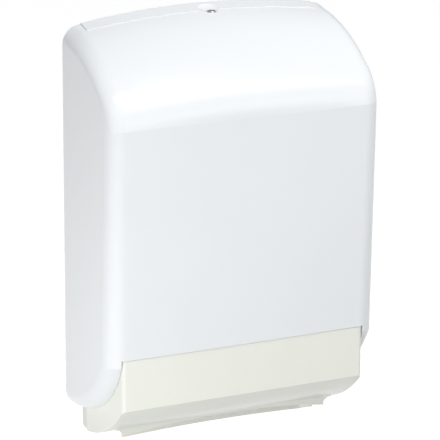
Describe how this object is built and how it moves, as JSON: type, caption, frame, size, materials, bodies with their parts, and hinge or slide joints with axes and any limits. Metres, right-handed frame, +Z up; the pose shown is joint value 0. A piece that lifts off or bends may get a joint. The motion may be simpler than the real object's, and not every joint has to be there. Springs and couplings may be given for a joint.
{
  "type": "folded towel dispenser",
  "caption": "Wall dispenser for folded paper towels: domed white cover that tips forward on bottom hinges, ivory chute with a wide slot below, key lock in the crown.",
  "frame": {"origin": "centre of the four wall holes, on the back face", "axes": "+X to the right as seen from the room, +Y into the wall, +Z up"},
  "size_m": [0.2938, 0.1307, 0.4357],
  "materials": {
    "cover_white": "smooth glossy white ABS",
    "chute_ivory": "satin ivory ABS",
    "plate_ivory": "fine matt ivory ABS",
    "guide_grey": "matt light grey plastic",
    "steel_zinc": "bright zinc plated steel",
    "lock_chrome": "polished nickel",
    "pin_steel": "ground steel",
    "bush_plastic": "natural white acetal"
  },
  "bodies": {
    "base": {"back_plate": "plate_ivory", "towel_chute": "chute_ivory", "side_guide_left": "guide_grey", "side_guide_right": "guide_grey", "strike_plate": "steel_zinc", "strike_screws": "steel_zinc", "guide_screws": "steel_zinc", "chute_screws": "steel_zinc", "hinge_bush_left": "bush_plastic", "hinge_bush_right": "bush_plastic"},
    "front_cover": {"cover": "cover_white", "lock_barrel": "lock_chrome", "lock_washer": "steel_zinc", "lock_nut": "steel_zinc", "hinge_pin_left": "pin_steel", "hinge_pin_right": "pin_steel", "thrust_washer_left": "bush_plastic", "thrust_washer_right": "bush_plastic"},
    "lock_core": {"lock_plug": "lock_chrome", "lock_cam": "steel_zinc", "cam_screw": "steel_zinc"}
  },
  "joints": [
    {"name": "cover_hinge", "type": "hinge", "parent": "base", "child": "front_cover", "pos_m": [0, -0.031, -0.197], "axis": [1, 0, 0], "range_deg": [0, 90]},
    {"name": "lock_turn", "type": "hinge", "parent": "front_cover", "child": "lock_core", "pos_m": [0.0065, -0.023, 0.18], "axis": [0, 0, -1], "range_deg": [0, 90]}
  ]
}
